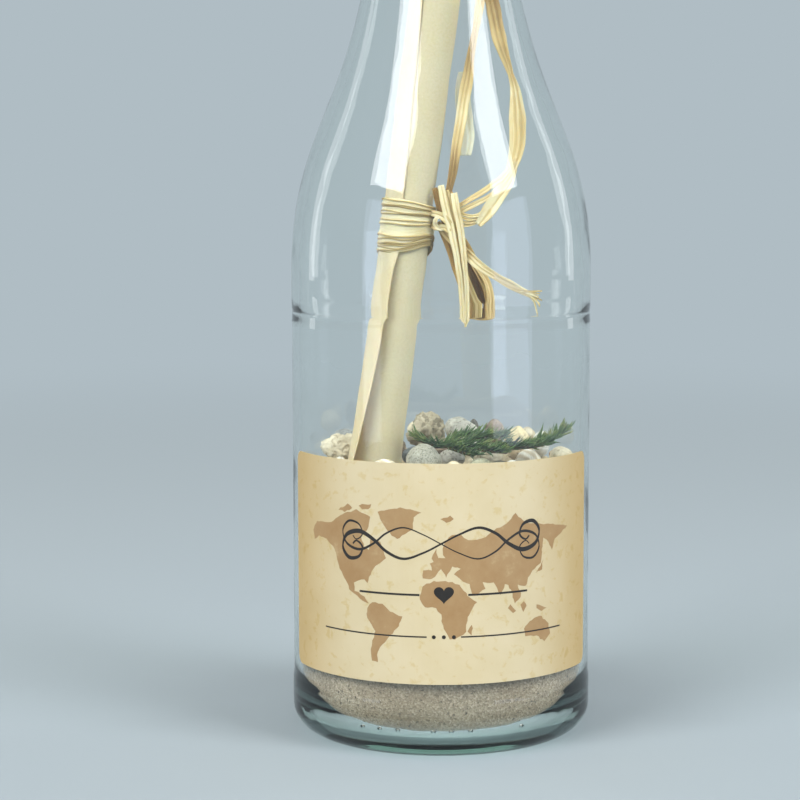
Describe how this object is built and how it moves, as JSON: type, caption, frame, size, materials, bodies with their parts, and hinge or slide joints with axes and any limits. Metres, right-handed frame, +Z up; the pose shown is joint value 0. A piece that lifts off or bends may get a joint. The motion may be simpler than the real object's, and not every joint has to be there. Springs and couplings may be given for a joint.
{
  "type": "message in a bottle",
  "caption": "Corked clear glass bottle with a paper label, holding a rolled letter tied with raffia on sand, pebbles, shells and a fir sprig.",
  "frame": {"origin": "middle of the bottle's base, on the surface that it stands on", "axes": "+Z up along the bottle's axis, -Y towards the viewer at the middle of the label, +X to the viewer's right"},
  "size_m": [0.0886, 0.0884, 0.288],
  "materials": {
    "clear_glass": "gloss",
    "label_paper": "matte",
    "natural_cork": "matte",
    "beach_sand": "matte",
    "cream_stone": "satin",
    "grey_stone": "satin",
    "brown_stone": "satin",
    "dark_stone": "satin",
    "green_stone": "satin",
    "white_stone": "satin",
    "white_shell": "satin",
    "brown_shell": "satin",
    "letter_paper": "matte",
    "raffia": "satin",
    "fir_bark": "matte",
    "fir_needles": "satin"
  },
  "bodies": {
    "bottle": {"bottle": "clear_glass", "label": "label_paper", "sand": "beach_sand", "bed_cream_stones": "cream_stone", "bed_grey_stones": "grey_stone", "bed_brown_stones": "brown_stone", "white_cockle": "white_shell", "round_grey_pebble": "grey_stone", "pale_egg_pebble": "cream_stone", "speckled_green_pebble": "green_stone", "bluish_white_pebble": "white_stone", "small_tan_pebble": "brown_stone", "front_grey_pebble": "grey_stone", "front_cream_cockle": "white_shell", "left_small_pebble": "cream_stone", "front_small_pebble": "cream_stone", "dark_flat_pebble": "dark_stone", "brown_turret_shell": "brown_shell", "olive_pebble": "green_stone", "sandstone_pebble": "brown_stone", "middle_grey_pebble": "grey_stone", "middle_cream_stone": "cream_stone", "slate_pebble": "dark_stone", "ribbed_cream_shell": "white_shell", "smooth_white_shell": "white_shell", "right_turret_shell": "brown_shell", "right_tan_pebble": "brown_stone", "dove_grey_pebble": "grey_stone", "back_brown_pebble": "brown_stone", "rough_beige_stone": "cream_stone", "flat_grey_pebble": "grey_stone", "taupe_stone": "brown_stone", "dark_brown_stone": "dark_stone", "yellow_cream_stone": "cream_stone", "white_pebble": "white_stone", "cream_mound_stone": "cream_stone", "white_chip": "white_stone", "left_back_pebble": "brown_stone", "back_cockle": "white_shell", "left_back_grey_pebble": "grey_stone", "back_cream_pebble": "cream_stone", "back_grey_pebble": "grey_stone", "back_turret_shell": "brown_shell", "right_back_pebble": "cream_stone", "sprig_stem": "fir_bark", "sprig_needles": "fir_needles"},
    "cork": {"cork": "natural_cork"},
    "message": {"letter_roll": "letter_paper", "raffia_wrap": "raffia", "raffia_knot": "raffia", "raffia_tall_loop": "raffia", "raffia_bow_loop": "raffia", "raffia_long_tail": "raffia", "raffia_frayed_tail": "raffia", "raffia_stray_strip": "raffia"}
  },
  "joints": [
    {"name": "cork_pull", "type": "slide", "parent": "bottle", "child": "cork", "axis": [0, 0, 1], "range_m": [0, 0.06]},
    {"name": "message_lift", "type": "slide", "parent": "bottle", "child": "message", "axis": [0.1286, 0.0692, 0.9893], "range_m": [0, 0.028], "deforming": ["raffia_tall_loop"]}
  ]
}
